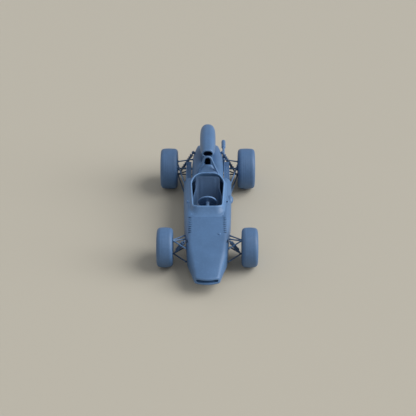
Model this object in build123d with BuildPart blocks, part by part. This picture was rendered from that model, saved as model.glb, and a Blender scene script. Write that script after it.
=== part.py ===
from build123d import *
import os
from math import cos, radians, sin

# Resin model of an open wheel racing car, 1:43. Millimetres, +Z up, nose towards -Y,
# the car's left side towards +X. Lengths along the car are stations: distances behind
# the front axle. The origin is on the ground under the middle of the car.

os.makedirs("parts", exist_ok=True)

# ---- overall ----
NOSE_REACH = 19.2
WHEELBASE = 53.8
TAIL_OVERHANG = 17.0
TAIL_REACH = WHEELBASE + TAIL_OVERHANG
TRACK = 32.6
FIT = 0.05          # radial clearance of running and plugged fits
EYE_GAP = 0.08      # gap between a rod's end ball and what carries it
CUT_REACH = 30.0    # how far an open cut runs past the model

# ---- wheels ----
FRONT_TYRE_R = 7.7
FRONT_TYRE_W = 6.15
REAR_TYRE_R = 8.55
REAR_TYRE_W = 7.15
FRONT_RIM_R = 4.6
REAR_RIM_R = 4.8
AXLE_R = 0.8
HUB_R = 1.45
UPRIGHT_T = 0.65
UPRIGHT_DEPTH = 1.0  # the upright stands this far into the hollow rim
HUB_GAP = 0.25      # hub to the upright's outer face
AXLE_END_GAP = 0.2
SHOULDER_R = 1.3
RIM_INSET = 0.35    # rim edge inside the tyre's side
RIM_WALL = 0.45
DISC_INSET = 1.1    # disc face inside the rim's edge
DISC_T = 0.7
CAP_T = 0.6
WINDOW_COUNT = 6
WINDOW_R = 0.62

# ---- body ----
FLOOR_Z = 3.0
FLOOR_CUT = 0.05    # the floor is cut flat this far above the lowest point of the skin
KEEL_Z = FLOOR_Z - FLOOR_CUT
TUB_TOP = 8.6
NOSE_JOINT = -7.0
BODY_END = 38.5
# station, half width, bottom, top, top corner radius
NOSE_SECTIONS = [(-NOSE_REACH, 4.85, 4.6, 7.6, 1.2), (NOSE_JOINT, 7.5, KEEL_Z, 10.5, 2.2)]
BODY_SECTIONS = [
    (NOSE_JOINT, 7.5, KEEL_Z, 10.5, 2.2),
    (4.8, 8.4, KEEL_Z, 12.5, 2.6),
    (16.8, 9.25, KEEL_Z, 14.1, 3.2),
    (BODY_END, 9.8, KEEL_Z, 14.3, 3.4),
]
SILL_R = 0.7
NOSE_BOW_R = 10.0   # the nose is bowed in plan
NOSE_EDGE_R = 0.55
SLOT_W = 8.1
SLOT_H = 1.3
SLOT_Z = 6.2
SLOT_DEPTH = 5.0

# ---- cockpit ----
TUB_FLOOR_T = 1.2
COCKPIT_HALF_W = 6.5
FOOTWELL_START = 4.0
FOOTWELL_TOP = 11.0
COCKPIT_END = BODY_END - 1.1
LEDGE_Z = 12.6      # the coaming stands on a ledge inside the opening
COAMING_T = 0.5
COAMING_TOP = 17.3
COAMING_REAR = BODY_END - 0.3
COAMING_R = 2.6
COAMING_REAR_R = 5.0
# height, front station, half width of the coaming's outer face
COAMING_LEVELS = [(LEDGE_Z, 12.0, 6.75), (COAMING_TOP, 16.7, 5.95)]
# the coaming's upper edge: station, height
RIM_LINE = [
    (10.0, 16.3),
    (15.8, 16.3),
    (19.5, 15.5),
    (COAMING_REAR - 4.0, 15.3),
    (COAMING_REAR - 0.7, 17.0),
    (COAMING_REAR + 7.0, 17.0),
]

WHEEL_STATION = 23.2
WHEEL_Z = 12.8
WHEEL_R = 3.4
WHEEL_RIM_R = 0.36
WHEEL_TILT = 20.0
COLUMN_R = 0.6
COLUMN_L = 6.3
DASH_T = 0.6
DASH_H = 3.0

SEAT_HALF_W = 4.6
SEAT_TROUGH = 1.2
SEAT_REAR_R = 3.0
SEAT_TOP = 11.7     # above the tub floor
# side outline of the seat: station, height above the tub floor
SEAT_FRONT = 19.5
SEAT_REAR = COCKPIT_END - 0.4
SEAT_LINE = [
    (SEAT_FRONT, 0),
    (SEAT_FRONT, 0.8),
    (27.0, 1.1),
    (SEAT_REAR - 1.2, SEAT_TOP),
    (SEAT_REAR, SEAT_TOP),
    (SEAT_REAR, 0),
]
SEAT_HOLLOW = [
    (SEAT_FRONT - 0.5, 0.45),
    (26.8, 0.55),
    (SEAT_REAR - 0.8, SEAT_TOP + 0.4),
    (30.0, 14.0),
    (SEAT_FRONT - 0.5, 14.0),
]

# ---- engine end ----
DECK_Z = 14.2       # flat seat of the roll hoop and headrest
DECK_HALF_W = 3.8
BLOCK_HALF_W = 4.4
BLOCK_Z = (3.6, 11.6)
BLOCK_END = WHEELBASE - 1.8
GEARBOX_HALF_W = 3.0
GEARBOX_Z = (5.0, 11.0)
GEARBOX_END = WHEELBASE + 9.8
POCKET_HALF_W = 4.7
POCKET_TOP = 11.8
POCKET_END = GEARBOX_END + 0.4
COVER_Z = 9.5
COVER_END = POCKET_END + 2.5
# station, half width, shoulder height, hump height, valley height
COVER_SECTIONS = [
    (BODY_END, 6.4, 13.2, 15.4, 14.7),
    (BODY_END + 9.5, 6.5, 12.9, 15.2, 14.5),
    (WHEELBASE + 4.2, 6.1, 12.3, 14.4, 13.7),
    (COVER_END, 3.8, 11.0, 12.3, 12.0),
]

POD_START = BODY_END + 2.0
POD_DEEPEST = WHEELBASE + 1.2
# station, half width, bottom, top, corner radius
POD_SECTIONS = [
    (POD_START, 2.5, 22.5, 26.3, 1.85),
    (POD_START + 0.45 * (POD_DEEPEST - POD_START), 3.05, 19.8, 26.6, 2.4),
    (POD_DEEPEST, 3.2, 18.0, 26.5, 2.6),
    (WHEELBASE + 8.2, 2.75, 18.6, 25.4, 2.4),
    (WHEELBASE + 11.8, 1.4, 20.2, 23.2, 1.3),
]
MOUTH_W = 3.8
MOUTH_H = 2.5
MOUTH_DEPTH = 4.5
POD_LIP_R = 0.4
# first and last station of the stem that carries the pod
TRUNK = (BODY_END + 10.0, WHEELBASE + 8.2)
TRUNK_HALF_W = 2.3
TRUNK_FOOT = 12.8
TRUNK_TOP = 20.0

HOOP_R = 0.6
HOOP_FOOT_X = 4.6
HOOP_FOOT_R = HOOP_R + 0.15
HOOP_FOOT_H = 0.4
HOOP_FOOT = BODY_END + HOOP_FOOT_R + FIT
HOOP_DECK_END = HOOP_FOOT + HOOP_FOOT_R + 0.8
HOOP_TOP_X = 1.0
HOOP_TOP = HOOP_FOOT + 0.7
HOOP_TOP_Z = 22.1
HOOP_BEND_R = 0.9
# station, half width at the foot, half width at the top, top
HEADREST_SECTIONS = [
    (BODY_END + 0.1, 3.5, 2.3, 17.0),
    (BODY_END + 2.9, 3.2, 1.7, 18.4),
    (BODY_END + 7.5, 2.2, 1.3, 15.6),
]
DECK_END = HEADREST_SECTIONS[-1][0] + 0.2

COOLER_X = (6.85, 9.0)
COOLER_Z = (8.0, 12.6)
COOLER_END = WHEELBASE - 0.8
FIN_COUNT = 9
FIN_GAP = 0.6
FIN_DEPTH = 0.8

PIPE_R = 0.5
PIPE_BEND_R = 1.2
PIPE_Z = 6.6
PIPE_X = 5.9
RISER_X = 6.75
RISER_START = WHEELBASE + 2.8
RISER_END = WHEELBASE + 6.6
SILENCER_R = 0.9
SILENCER_L = 5.5
TAILPIPE_X = 6.75
TAILPIPE_Z = 11.7
PRIMARY_R = 0.45
PRIMARY_COUNT = 4

# ---- running gear ----
ROD_R = 0.27
EYE_R = 0.42
DAMPER_R = 0.8
SHAFT_R = 0.4
BOOT_R = 0.8
BOOT_L = 1.2

LOUVRE_COUNT = 9
LOUVRE_STATIONS = (4.3, 12.3)
LOUVRE_X = 6.65
LOUVRE_W = 1.3
LOUVRE_L = 0.45
LOUVRE_DEPTH = 0.35
FILLER_AT = (4.7, 2.6)
FILLER_R = 0.55
FILLER_H = 0.5
PEG_AT = (7.8, 21.4)
PEG_R = 0.32
PEG_TOP = 14.5
BLISTER_AT = (9.0, 24.0, 12.2)
BLISTER = (2.3, 5.0, 2.4)
BLISTER_R = 0.8


def at(station):
    """Row coordinate of a station."""
    return station - (TAIL_REACH - NOSE_REACH) / 2


def across(station):
    """Plane across the car at a station, with X to the car's left and Z up."""
    return Plane.XZ.offset(-at(station))


def between(table, station, column):
    """A column of a table of sections, read at any station."""
    for low, high in zip(table, table[1:]):
        if station <= high[0]:
            break
    share = (station - low[0]) / (high[0] - low[0])
    return low[column] + share * (high[column] - low[column])


def body_side(station):
    return between(BODY_SECTIONS, station, 1)


def body_top(station):
    return between(BODY_SECTIONS, station, 3)


def body_section(station, half_width, bottom, top, radius):
    """Section of the body: round shoulders over small sill corners."""
    with BuildSketch(across(station)) as section:
        with Locations((0, (bottom + top) / 2)):
            Rectangle(2 * half_width, top - bottom)
        fillet(section.vertices().group_by(Axis.Y)[-1], radius)
        fillet(section.vertices().group_by(Axis.Y)[0], SILL_R)
    return section.sketch


def box(x, stations, z, mode=Mode.ADD):
    """Box given by its limits."""
    length = stations[1] - stations[0]
    with Locations(((x[0] + x[1]) / 2, at((stations[0] + stations[1]) / 2), (z[0] + z[1]) / 2)):
        Box(x[1] - x[0], length, z[1] - z[0], mode=mode)


def save(part, name):
    part.label = name
    export_step(part, f"parts/{name}.step")


# ======== body ========

with BuildPart() as nose_cover:
    for row in NOSE_SECTIONS:
        add(body_section(*row))
    loft(ruled=True)
    with BuildSketch():
        with BuildLine():
            bow = CenterArc((0, at(-NOSE_REACH) + NOSE_BOW_R), NOSE_BOW_R, -135, 90)
            Polyline(bow @ 1, (12, (bow @ 1).Y), (12, at(NOSE_JOINT)),
                     (-12, at(NOSE_JOINT)), (-12, (bow @ 0).Y), bow @ 0)
        make_face()
    extrude(amount=CUT_REACH, mode=Mode.INTERSECT)
    split(bisect_by=Plane.XY.offset(FLOOR_Z), keep=Keep.TOP)
    front = nose_cover.faces().sort_by(Axis.Y)[0]
    fillet(front.edges(), NOSE_EDGE_R)
    with BuildSketch(across(-NOSE_REACH)):
        with Locations((0, SLOT_Z)):
            SlotOverall(SLOT_W, SLOT_H)
    extrude(amount=-SLOT_DEPTH, mode=Mode.SUBTRACT)
save(nose_cover.part, "nose_cover")

with BuildPart() as body:
    for row in BODY_SECTIONS:
        add(body_section(*row))
    loft()
    split(bisect_by=Plane.XY.offset(FLOOR_Z), keep=Keep.TOP)

with BuildPart() as tub:
    add(body.part)
    split(bisect_by=Plane.XY.offset(TUB_TOP), keep=Keep.BOTTOM)
    box((-COCKPIT_HALF_W, COCKPIT_HALF_W), (FOOTWELL_START, COCKPIT_END),
        (FLOOR_Z + TUB_FLOOR_T, TUB_TOP + 1), mode=Mode.SUBTRACT)
save(tub.part, "tub")


def opening_outline(height, front, half_width, grow):
    """Outline of the cockpit opening at one height, grown or shrunk all round."""
    first = at(front) - grow
    last = at(COAMING_REAR) + grow
    with BuildSketch(Plane.XY.offset(height)) as outline:
        with Locations((0, (first + last) / 2)):
            Rectangle(2 * (half_width + grow), last - first)
        fillet(outline.vertices().group_by(Axis.Y)[0], COAMING_R + grow)
        fillet(outline.vertices().group_by(Axis.Y)[-1], COAMING_REAR_R + grow)
    return outline.sketch


with BuildPart() as cockpit_surround:
    add(body.part)
    split(bisect_by=Plane.XY.offset(TUB_TOP), keep=Keep.TOP)
    for height, front, half_width in COAMING_LEVELS:
        add(opening_outline(height, front, half_width, FIT))
    loft(mode=Mode.SUBTRACT)
    ledge = COAMING_LEVELS[0]
    add(opening_outline(TUB_TOP, ledge[1], ledge[2], -2 * COAMING_T))
    extrude(amount=LEDGE_Z - TUB_TOP, mode=Mode.SUBTRACT)
    box((-COCKPIT_HALF_W + 1, COCKPIT_HALF_W - 1), (FOOTWELL_START, ledge[1] + 3),
        (TUB_TOP, FOOTWELL_TOP), mode=Mode.SUBTRACT)
    louvre_pitch = (LOUVRE_STATIONS[1] - LOUVRE_STATIONS[0]) / (LOUVRE_COUNT - 1)
    for number in range(LOUVRE_COUNT):
        station = LOUVRE_STATIONS[0] + number * louvre_pitch
        with Locations((LOUVRE_X, at(station), body_top(station)),
                       (-LOUVRE_X, at(station), body_top(station))):
            Box(LOUVRE_W, LOUVRE_L, 2 * LOUVRE_DEPTH, mode=Mode.SUBTRACT)
    filler_seat = body_top(FILLER_AT[1]) - FILLER_H / 2
    with Locations((FILLER_AT[0], at(FILLER_AT[1]), filler_seat)):
        Cylinder(FILLER_R + FIT, 2, align=(Align.CENTER, Align.CENTER, Align.MIN),
                 mode=Mode.SUBTRACT)
    with Locations((PEG_AT[0], at(PEG_AT[1]), PEG_TOP), (-PEG_AT[0], at(PEG_AT[1]), PEG_TOP)):
        Cylinder(PEG_R, 2, align=(Align.CENTER, Align.CENTER, Align.MAX))
    with BuildPart(mode=Mode.PRIVATE) as blister:
        with Locations((BLISTER_AT[0], at(BLISTER_AT[1]), BLISTER_AT[2])):
            Box(*BLISTER)
        fillet(blister.edges(), BLISTER_R)
    add(blister.part)
save(cockpit_surround.part, "cockpit_surround")

with BuildPart() as windscreen:
    for height, front, half_width in COAMING_LEVELS:
        add(opening_outline(height, front, half_width, 0))
    loft()
    for height, front, half_width in COAMING_LEVELS:
        add(opening_outline(height, front, half_width, -COAMING_T))
    loft(mode=Mode.SUBTRACT)
    with BuildSketch(Plane.YZ):
        with BuildLine():
            rim = [(at(station), height) for station, height in RIM_LINE]
            Polyline(*rim, (rim[-1][0], CUT_REACH), (rim[0][0], CUT_REACH), rim[0])
        make_face()
    extrude(amount=CUT_REACH, both=True, mode=Mode.SUBTRACT)
save(windscreen.part, "windscreen")

with BuildPart() as filler_cap:
    with Locations((FILLER_AT[0], at(FILLER_AT[1]), filler_seat)):
        Cylinder(FILLER_R, FILLER_H, align=(Align.CENTER, Align.CENTER, Align.MIN))
    fillet(filler_cap.edges().sort_by(Axis.Z)[-1], 0.15)
save(filler_cap.part, "filler_cap")

# ======== cockpit ========

seat_floor = FLOOR_Z + TUB_FLOOR_T
with BuildPart() as seat:
    for outline, half_width, mode in ((SEAT_LINE, SEAT_HALF_W, Mode.ADD),
                                      (SEAT_HOLLOW, SEAT_HALF_W - SEAT_TROUGH, Mode.SUBTRACT)):
        with BuildSketch(Plane.YZ):
            with BuildLine():
                points = [(at(station), seat_floor + height) for station, height in outline]
                Polyline(*points, points[0])
            make_face()
        extrude(amount=half_width, both=True, mode=mode)
    fillet(seat.edges().filter_by(Axis.Z).group_by(Axis.Y)[-1], SEAT_REAR_R)
save(seat.part, "seat")

tilt = radians(WHEEL_TILT)
wheel_plane = Plane(origin=(0, at(WHEEL_STATION), WHEEL_Z), x_dir=(1, 0, 0),
                    z_dir=(0, cos(tilt), sin(tilt)))
with BuildPart(wheel_plane) as steering_wheel:
    Torus(WHEEL_R, WHEEL_RIM_R)
    with PolarLocations(WHEEL_R / 2, 3, start_angle=-90):
        Box(WHEEL_R, 0.7, 0.3)
    Cylinder(0.9, 0.6)
    Cylinder(COLUMN_R, COLUMN_L, align=(Align.CENTER, Align.CENTER, Align.MAX))
save(steering_wheel.part, "steering_wheel")

with BuildPart(wheel_plane.offset(-COLUMN_L)) as dash:
    Box(2 * (COAMING_LEVELS[0][2] - 2 * COAMING_T - FIT), DASH_H, DASH_T,
        align=(Align.CENTER, Align.CENTER, Align.MAX))
save(dash.part, "dash")

# ======== engine end ========

with BuildPart() as air_box:
    for station, half_width, bottom, top, radius in POD_SECTIONS:
        with BuildSketch(across(station)):
            with Locations((0, (bottom + top) / 2)):
                RectangleRounded(2 * half_width, top - bottom, radius)
    loft()
    mouth_face = air_box.faces().sort_by(Axis.Y)[0]
    tail_face = air_box.faces().sort_by(Axis.Y)[-1]
    fillet(mouth_face.edges(), POD_LIP_R)
    fillet(tail_face.edges(), 1.0)
    with BuildSketch(Plane.XY.offset(TRUNK_FOOT)) as trunk_plan:
        with Locations((0, at(sum(TRUNK) / 2))):
            RectangleRounded(2 * TRUNK_HALF_W, TRUNK[1] - TRUNK[0], TRUNK_HALF_W - 0.3)
    extrude(amount=TRUNK_TOP - TRUNK_FOOT)
    mouth_z = (POD_SECTIONS[0][2] + POD_SECTIONS[0][3]) / 2
    with BuildSketch(across(POD_SECTIONS[0][0])):
        with Locations((0, mouth_z)):
            Ellipse(MOUTH_W / 2, MOUTH_H / 2)
    extrude(amount=-MOUTH_DEPTH, mode=Mode.SUBTRACT)
save(air_box.part, "air_box")

with BuildPart() as engine_cover:
    for station, half_width, shoulder, hump, valley in COVER_SECTIONS:
        with BuildSketch(across(station)):
            with BuildLine():
                ThreePointArc((half_width, shoulder), (half_width * 0.5, hump), (0, valley))
                ThreePointArc((0, valley), (-half_width * 0.5, hump), (-half_width, shoulder))
                Polyline((-half_width, shoulder), (-half_width, COVER_Z),
                         (half_width, COVER_Z), (half_width, shoulder))
            make_face()
    loft()
    box((-POCKET_HALF_W, POCKET_HALF_W), (BODY_END, POCKET_END), (COVER_Z - 1, POCKET_TOP),
        mode=Mode.SUBTRACT)
    box((-CUT_REACH, CUT_REACH), (BODY_END - 1, HOOP_DECK_END), (DECK_Z, CUT_REACH),
        mode=Mode.SUBTRACT)
    box((-DECK_HALF_W, DECK_HALF_W), (BODY_END - 1, DECK_END), (DECK_Z, CUT_REACH),
        mode=Mode.SUBTRACT)
    with BuildSketch(Plane.XY.offset(TRUNK_FOOT)):
        with Locations((0, at(sum(TRUNK) / 2))):
            RectangleRounded(2 * (TRUNK_HALF_W + FIT), TRUNK[1] - TRUNK[0] + 2 * FIT,
                             TRUNK_HALF_W - 0.3)
    extrude(amount=10, mode=Mode.SUBTRACT)
save(engine_cover.part, "engine_cover")

with BuildPart() as engine_block:
    box((-BLOCK_HALF_W, BLOCK_HALF_W), (BODY_END, BLOCK_END), BLOCK_Z)
save(engine_block.part, "engine_block")

with BuildPart() as gearbox:
    box((-GEARBOX_HALF_W, GEARBOX_HALF_W), (BLOCK_END, GEARBOX_END), GEARBOX_Z)
save(gearbox.part, "gearbox")

with BuildPart() as roll_hoop:
    foot = (HOOP_FOOT_X, at(HOOP_FOOT), DECK_Z)
    top = (HOOP_TOP_X, at(HOOP_TOP), HOOP_TOP_Z)
    with BuildLine() as hoop_line:
        FilletPolyline((-foot[0], *foot[1:]), (-top[0], *top[1:]), top, foot,
                       radius=HOOP_BEND_R)
    with BuildSketch(Plane(origin=hoop_line.line @ 0, z_dir=hoop_line.line % 0)):
        Circle(HOOP_R)
    sweep()
    split(bisect_by=Plane.XY.offset(DECK_Z), keep=Keep.TOP)
    with Locations(foot, (-foot[0], *foot[1:])):
        Cylinder(HOOP_FOOT_R, HOOP_FOOT_H, align=(Align.CENTER, Align.CENTER, Align.MIN))
save(roll_hoop.part, "roll_hoop")

with BuildPart() as headrest:
    for station, foot_half_w, top_half_w, top_z in HEADREST_SECTIONS:
        with BuildSketch(across(station)) as section:
            with BuildLine():
                Polyline((-foot_half_w, DECK_Z), (foot_half_w, DECK_Z), (top_half_w, top_z),
                         (-top_half_w, top_z), (-foot_half_w, DECK_Z))
            make_face()
            fillet(section.vertices().group_by(Axis.Y)[-1], 0.9)
    loft(ruled=True)
save(headrest.part, "headrest")

with BuildPart() as exhaust:
    silencer_start = TAIL_REACH - SILENCER_L
    primary_pitch = (BLOCK_END - BODY_END) / (PRIMARY_COUNT + 1)
    primaries = [BODY_END + number * primary_pitch for number in range(1, PRIMARY_COUNT + 1)]
    with BuildLine() as pipe_line:
        FilletPolyline((PIPE_X, at(primaries[0]), PIPE_Z), (PIPE_X, at(BLOCK_END), PIPE_Z),
                       (RISER_X, at(RISER_START), PIPE_Z), (RISER_X, at(RISER_END), TAILPIPE_Z),
                       (TAILPIPE_X, at(silencer_start + 1), TAILPIPE_Z), radius=PIPE_BEND_R)
    with BuildSketch(Plane(origin=pipe_line.line @ 0, z_dir=pipe_line.line % 0)):
        Circle(PIPE_R)
    sweep()
    with BuildSketch(across(TAIL_REACH)):
        with Locations((TAILPIPE_X, TAILPIPE_Z)):
            Circle(SILENCER_R)
    extrude(amount=SILENCER_L)
    fillet(exhaust.edges().filter_by(GeomType.CIRCLE).sort_by(Axis.Y)[-1], 0.4)
    for station in primaries:
        with BuildSketch(Plane.YZ.offset(BLOCK_HALF_W)):
            with Locations((at(station), PIPE_Z)):
                Circle(PRIMARY_R)
        extrude(amount=PIPE_X - BLOCK_HALF_W)
save(exhaust.part, "exhaust")

# ======== pieces with a mirror image ========

# Points of the running gear, left side: x, station, z
front_face_x = TRACK / 2 - FRONT_TYRE_W / 2 + UPRIGHT_DEPTH - UPRIGHT_T
rear_face_x = TRACK / 2 - REAR_TYRE_W / 2 + UPRIGHT_DEPTH - UPRIGHT_T
front_eye_x = front_face_x - EYE_R - EYE_GAP
rear_eye_x = rear_face_x - EYE_R - EYE_GAP
gearbox_eye_x = GEARBOX_HALF_W + EYE_R + EYE_GAP
tub_eye = BODY_END + EYE_R + EYE_GAP


def side_eye(station, z):
    """End ball of a rod that stands against the body's side."""
    return (body_side(station) + EYE_R + EYE_GAP, station, z)


def cover_eye(station, z):
    """End ball of a rod that stands against the engine cover's side."""
    return (between(COVER_SECTIONS, station, 1) + EYE_R + EYE_GAP, station, z)


# name, outer point, inner points
RODS = [
    ("front_upper_arm", (front_eye_x, 0.0, 10.9), [side_eye(-2.8, 9.4), side_eye(3.0, 9.4)]),
    ("front_lower_arm", (front_eye_x, 0.0, 4.7), [side_eye(-5.0, 4.7), side_eye(4.0, 4.7)]),
    ("front_tie_rod", (front_eye_x, 1.9, 9.9), [side_eye(5.2, 9.4)]),
    ("rear_upper_link", (rear_eye_x, WHEELBASE + 1.1, 11.4), [cover_eye(WHEELBASE + 1.7, 12.0)]),
    ("rear_upper_rod", (rear_eye_x, WHEELBASE - 0.9, 10.8), [(9.4, tub_eye, 10.3)]),
    ("rear_lower_rod", (rear_eye_x, WHEELBASE - 0.9, 5.7), [(9.3, tub_eye, 4.7)]),
    ("rear_lower_arm", (rear_eye_x, WHEELBASE + 0.7, 5.3),
     [(gearbox_eye_x, WHEELBASE - 0.6, 5.6), (gearbox_eye_x, WHEELBASE + 6.2, 5.6)]),
]
# name, lower point, upper point
DAMPERS = [
    ("front_damper", (front_eye_x - 0.87, 0.2, 5.45), (body_side(0.2) + DAMPER_R, 0.2, 10.4)),
    ("rear_damper", (rear_eye_x - 1.2, WHEELBASE + 1.75, 6.2), (6.2, WHEELBASE + 4.7, 13.6)),
]
# name, inner face, axle station, axle height, lowest and highest point, fore and aft reach
UPRIGHTS = [
    ("front_upright", front_face_x, 0.0, FRONT_TYRE_R, (4.3, 11.1), (-0.9, 2.2)),
    ("rear_upright", rear_face_x, WHEELBASE, REAR_TYRE_R, (5.1, 11.9), (-1.5, 1.6)),
]


def placed(point):
    """Row coordinates of a point given with its station."""
    return Vector(point[0], at(point[1]), point[2])


def rod(start, end, radius):
    """Round bar between two points."""
    axis = end - start
    with Locations(Plane(origin=start, z_dir=axis)):
        Cylinder(radius, axis.length, align=(Align.CENTER, Align.CENTER, Align.MIN))


def ball(point, axis):
    """End ball of a rod, with its pole on the rod's axis."""
    with Locations(Plane(origin=point, z_dir=axis)):
        Sphere(EYE_R)


def save_pair(part, name):
    """Save a left-side piece and its mirror image."""
    save(part, f"{name}_left")
    with BuildPart() as twin:
        mirror(part, about=Plane.YZ)
    save(twin.part, f"{name}_right")


for name, outer, inners in RODS:
    with BuildPart() as arm:
        for inner in inners:
            rod(placed(outer), placed(inner), ROD_R)
            ball(placed(inner), placed(outer) - placed(inner))
        ball(placed(outer), placed(inners[0]) - placed(outer))
    save_pair(arm.part, name)

for name, lower, upper in DAMPERS:
    with BuildPart() as damper:
        low = placed(lower)
        high = placed(upper)
        rod(low, high, ROD_R)
        rod(low + (high - low) * 0.16, low + (high - low) * 0.86, DAMPER_R)
        ball(low, high - low)
        ball(high, low - high)
    save_pair(damper.part, name)

for name, face_x, station, axle_z, reach_z, reach_y in UPRIGHTS:
    with BuildPart() as upright:
        outer_x = face_x + UPRIGHT_T
        box((face_x, outer_x), (station + reach_y[0], station + reach_y[1]), reach_z)
        fillet(upright.edges().filter_by(Axis.X), 0.6)
        with BuildSketch(Plane.YZ.offset(outer_x)):
            with Locations((at(station), axle_z)):
                Circle(AXLE_R)
        extrude(amount=TRACK / 2 + HUB_R - outer_x)
    save_pair(upright.part, name)

with BuildPart() as drive_shaft:
    for start, end, radius in ((GEARBOX_HALF_W, rear_face_x, SHAFT_R),
                               (GEARBOX_HALF_W, GEARBOX_HALF_W + BOOT_L, BOOT_R),
                               (rear_face_x - BOOT_L, rear_face_x, BOOT_R)):
        with BuildSketch(Plane.YZ.offset(start)):
            with Locations((at(WHEELBASE), REAR_TYRE_R)):
                Circle(radius)
        extrude(amount=end - start)
save_pair(drive_shaft.part, "drive_shaft")

with BuildPart() as side_cooler:
    box(COOLER_X, (BODY_END, COOLER_END), COOLER_Z)
    fillet(side_cooler.edges().group_by(Axis.Z)[-1].filter_by(Axis.Y), 0.4)
    pitch = (COOLER_END - BODY_END) / FIN_COUNT
    for number in range(1, FIN_COUNT):
        middle = BODY_END + number * pitch
        box(COOLER_X, (middle - FIN_GAP / 2, middle + FIN_GAP / 2),
            (COOLER_Z[1] - FIN_DEPTH, COOLER_Z[1] + 1), mode=Mode.SUBTRACT)
save_pair(side_cooler.part, "side_cooler")

# ======== wheels ========

# name, station, tyre radius, tyre width, rim radius
WHEELS = [
    ("front", 0.0, FRONT_TYRE_R, FRONT_TYRE_W, FRONT_RIM_R),
    ("rear", WHEELBASE, REAR_TYRE_R, REAR_TYRE_W, REAR_RIM_R),
]

for name, station, tyre_r, tyre_w, rim_r in WHEELS:
    # In the wheel's plane X runs outwards along the axle and Y is the radius.
    hub = Plane(origin=(TRACK / 2, at(station), tyre_r), x_dir=(1, 0, 0), z_dir=(0, -1, 0))
    axle = Axis(hub.origin, hub.x_dir)
    barrel = tyre_w / 2 - RIM_INSET
    disc = barrel - DISC_INSET
    hub_end = UPRIGHT_DEPTH - tyre_w / 2 + HUB_GAP
    bore = AXLE_R + FIT
    barrel_bore = rim_r - RIM_WALL

    with BuildPart() as rim:
        with BuildSketch(hub):
            with BuildLine():
                Polyline((-barrel, barrel_bore), (-barrel, rim_r - FIT), (barrel, rim_r - FIT),
                         (barrel, barrel_bore), (disc, barrel_bore - 0.2), (disc, HUB_R),
                         (disc + CAP_T, HUB_R - 0.3), (disc + CAP_T, 0), (HUB_R + AXLE_END_GAP, 0),
                         (HUB_R + AXLE_END_GAP, bore), (hub_end, bore), (hub_end, HUB_R),
                         (disc - DISC_T, HUB_R), (disc - DISC_T, barrel_bore),
                         (-barrel, barrel_bore))
            make_face()
        revolve(axis=axle)
        with BuildSketch(Plane.YZ.offset(TRACK / 2 + disc + 1)):
            with Locations((at(station), tyre_r)):
                with PolarLocations((HUB_R + barrel_bore) / 2, WINDOW_COUNT):
                    Circle(WINDOW_R)
        extrude(amount=-DISC_T - 2, mode=Mode.SUBTRACT)
    save_pair(rim.part, f"rim_{name}")

    with BuildPart() as tyre:
        with BuildSketch(hub) as tyre_section:
            with Locations((0, (rim_r + tyre_r) / 2)):
                Rectangle(tyre_w, tyre_r - rim_r)
            fillet(tyre_section.vertices().group_by(Axis.Y)[-1], SHOULDER_R)
        revolve(axis=axle)
    save_pair(tyre.part, f"tyre_{name}")
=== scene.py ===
import math

import bmesh
import bpy
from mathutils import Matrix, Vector
from mathutils.kdtree import KDTree


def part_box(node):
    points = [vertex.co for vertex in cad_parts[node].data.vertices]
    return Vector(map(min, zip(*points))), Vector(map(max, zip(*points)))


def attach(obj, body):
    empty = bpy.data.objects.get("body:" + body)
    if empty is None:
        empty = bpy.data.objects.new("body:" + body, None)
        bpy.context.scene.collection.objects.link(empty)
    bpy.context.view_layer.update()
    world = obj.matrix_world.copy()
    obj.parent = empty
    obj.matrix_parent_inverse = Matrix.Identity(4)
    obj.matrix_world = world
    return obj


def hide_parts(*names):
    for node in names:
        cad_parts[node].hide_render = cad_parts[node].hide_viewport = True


# A small resin model of a single-seat open wheel racing car, in one blue-grey resin.
# Pieces are modelled in millimetres and brought to metres when they are finished.
# Lengths along the car are stations: distances behind the front axle.

MM = 0.001

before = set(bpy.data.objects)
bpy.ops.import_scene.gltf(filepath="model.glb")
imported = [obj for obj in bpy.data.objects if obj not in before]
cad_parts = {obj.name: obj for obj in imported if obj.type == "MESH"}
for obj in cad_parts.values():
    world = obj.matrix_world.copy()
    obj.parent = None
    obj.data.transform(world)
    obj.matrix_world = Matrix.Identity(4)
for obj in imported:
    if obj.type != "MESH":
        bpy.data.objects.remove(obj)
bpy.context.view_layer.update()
bpy.ops.object.select_all(action="DESELECT")


def node_box(name):
    """Lowest and highest corner of a CAD node, in millimetres."""
    low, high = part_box(name)
    return low / MM, high / MM


def only(piece):
    """Selects one piece alone and makes it the active one."""
    bpy.ops.object.select_all(action="DESELECT")
    bpy.context.view_layer.objects.active = piece
    piece.select_set(True)


# ---- sizes taken from the frame ----

front_low, front_high = node_box("tyre_front_left")
rear_low, rear_high = node_box("tyre_rear_left")
FRONT_TYRE_R = (front_high.z - front_low.z) / 2
REAR_TYRE_R = (rear_high.z - rear_low.z) / 2
FRONT_TYRE_W = front_high.x - front_low.x
REAR_TYRE_W = rear_high.x - rear_low.x
TRACK = front_high.x + front_low.x
FRONT_AXLE_Y = (front_low.y + front_high.y) / 2
WHEELBASE = (rear_low.y + rear_high.y) / 2 - FRONT_AXLE_Y
FRONT_RIM_R = 4.6
REAR_RIM_R = 4.8
UPRIGHT_DEPTH = 1.0
HUB_GAP = 0.25
HUB_R = 1.45
BORE_R = 0.85
AXLE_END = 1.65
LIP_INSET = 0.35
DISC_INSET = 1.15
WINDOW_COUNT = 6
WINDOW_R = 0.64
WINDOW_RING_R = 2.82
STUD_RING_R = 2.0
TYRE_SHOULDER = 1.45
TYRE_CROWN = 0.12
# in from the tyre's side, out from the rim
TYRE_SIDE = [(0.45, 0.0), (0.14, 0.10), (0.05, 0.35), (0.10, 0.50), (0.02, 0.75), (0.0, 1.2)]
TREAD_LINES = 5
# across a tread line, into the tread
GROOVE = [(-0.09, 0.0), (-0.03, 0.014), (0.03, 0.014), (0.09, 0.0)]

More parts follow.
